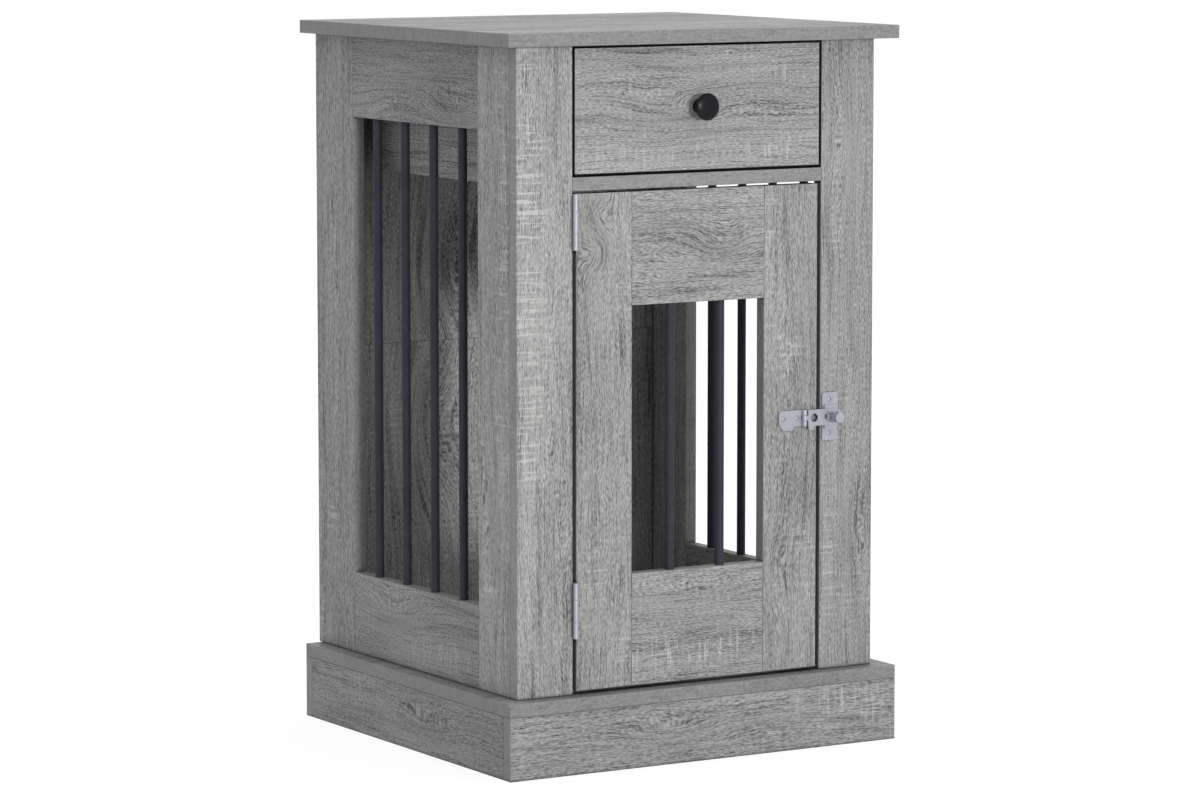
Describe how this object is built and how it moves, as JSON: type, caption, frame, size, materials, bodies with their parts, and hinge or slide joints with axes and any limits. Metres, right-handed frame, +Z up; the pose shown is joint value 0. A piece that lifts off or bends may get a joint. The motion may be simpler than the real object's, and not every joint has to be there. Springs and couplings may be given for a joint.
{
  "type": "dog crate end table",
  "caption": "Wooden dog crate that serves as an end table: barred cage with a latched swing door, a drawer above it and a plinth below.",
  "frame": {"origin": "on the floor, under the middle of the table top", "axes": "+Z up, -Y towards the door and drawer, +X to the right of a person who faces the door"},
  "size_m": [0.42, 0.4032, 0.6745],
  "materials": {
    "board": "grey oak foil on a fibre board core, satin",
    "panel": "thin hardboard, pale paper face",
    "bar": "dark charcoal powder coat, satin",
    "hinge": "zinc plated, satin",
    "latch": "zinc plated, satin",
    "knob": "black satin paint",
    "runner": "pale powder coat",
    "roller": "white nylon"
  },
  "bodies": {
    "cabinet": {"base_board": "board", "drawer_shelf": "board", "front_skirt": "board", "left_bearer_board": "board", "left_bottom_rail": "board", "left_cabinet_runner": "runner", "left_front_post": "board", "left_front_stile": "board", "left_rear_stile": "board", "left_side_rods": "bar", "left_skirt": "board", "left_top_rail": "board", "lower_back_board": "board", "lower_hinge_frame_leaf": "hinge", "lower_hinge_pin": "hinge", "plinth_corner_blocks": "board", "rear_skirt": "board", "right_bearer_board": "board", "right_bottom_rail": "board", "right_cabinet_runner": "runner", "right_front_post": "board", "right_front_stile": "board", "right_rear_stile": "board", "right_side_rods": "bar", "right_skirt": "board", "right_top_rail": "board", "staple_plate": "latch", "top_board": "board", "upper_back_board": "board", "upper_hinge_frame_leaf": "hinge", "upper_hinge_pin": "hinge"},
    "door": {"door_bottom_rail": "board", "door_hinge_stile": "board", "door_latch_stile": "board", "door_rods": "bar", "door_top_rail": "board", "hasp_leaf": "latch", "hasp_pin": "latch", "lower_hinge_door_leaf": "hinge", "upper_hinge_door_leaf": "hinge"},
    "hasp": {"hasp_strap": "latch"},
    "turn_knob": {"turn_knob": "latch"},
    "drawer": {"drawer_back": "board", "drawer_bottom": "panel", "drawer_front": "board", "drawer_knob": "knob", "drawer_left_side": "board", "drawer_right_side": "board", "left_drawer_runner": "runner", "right_drawer_runner": "runner"},
    "front_rollers": {"front_rollers": "roller"},
    "rear_rollers": {"rear_rollers": "roller"}
  },
  "joints": [
    {"name": "door_hinge", "type": "hinge", "parent": "cabinet", "child": "door", "pos_m": [-0.1325, -0.1859, 0.3011], "axis": [0, 0, -1], "range_deg": [0, 170]},
    {"name": "hasp_hinge", "type": "hinge", "parent": "door", "child": "hasp", "pos_m": [0.1155, -0.1864, 0.31], "axis": [0, 0, -1], "range_deg": [0, 150]},
    {"name": "turn_knob_pivot", "type": "hinge", "parent": "cabinet", "child": "turn_knob", "pos_m": [0.1447, -0.1907, 0.31], "axis": [0, -1, 0], "range_deg": [0, 90]},
    {"name": "drawer_slide", "type": "slide", "parent": "cabinet", "child": "drawer", "axis": [0, -1, 0], "range_m": [0, 0.22]},
    {"name": "front_roller_spin", "type": "hinge", "parent": "cabinet", "child": "front_rollers", "pos_m": [0, -0.1613, 0.5587], "axis": [1, 0, 0], "range_deg": [0, 1685]},
    {"name": "rear_roller_spin", "type": "hinge", "parent": "drawer", "child": "rear_rollers", "pos_m": [0, 0.1187, 0.5567], "axis": [1, 0, 0], "range_deg": [0, 1685]}
  ],
  "couplings": [
    {"joint": "front_roller_spin", "follows": "drawer_slide", "rad_per_m": 133.33},
    {"joint": "rear_roller_spin", "follows": "drawer_slide", "rad_per_m": 133.33}
  ]
}
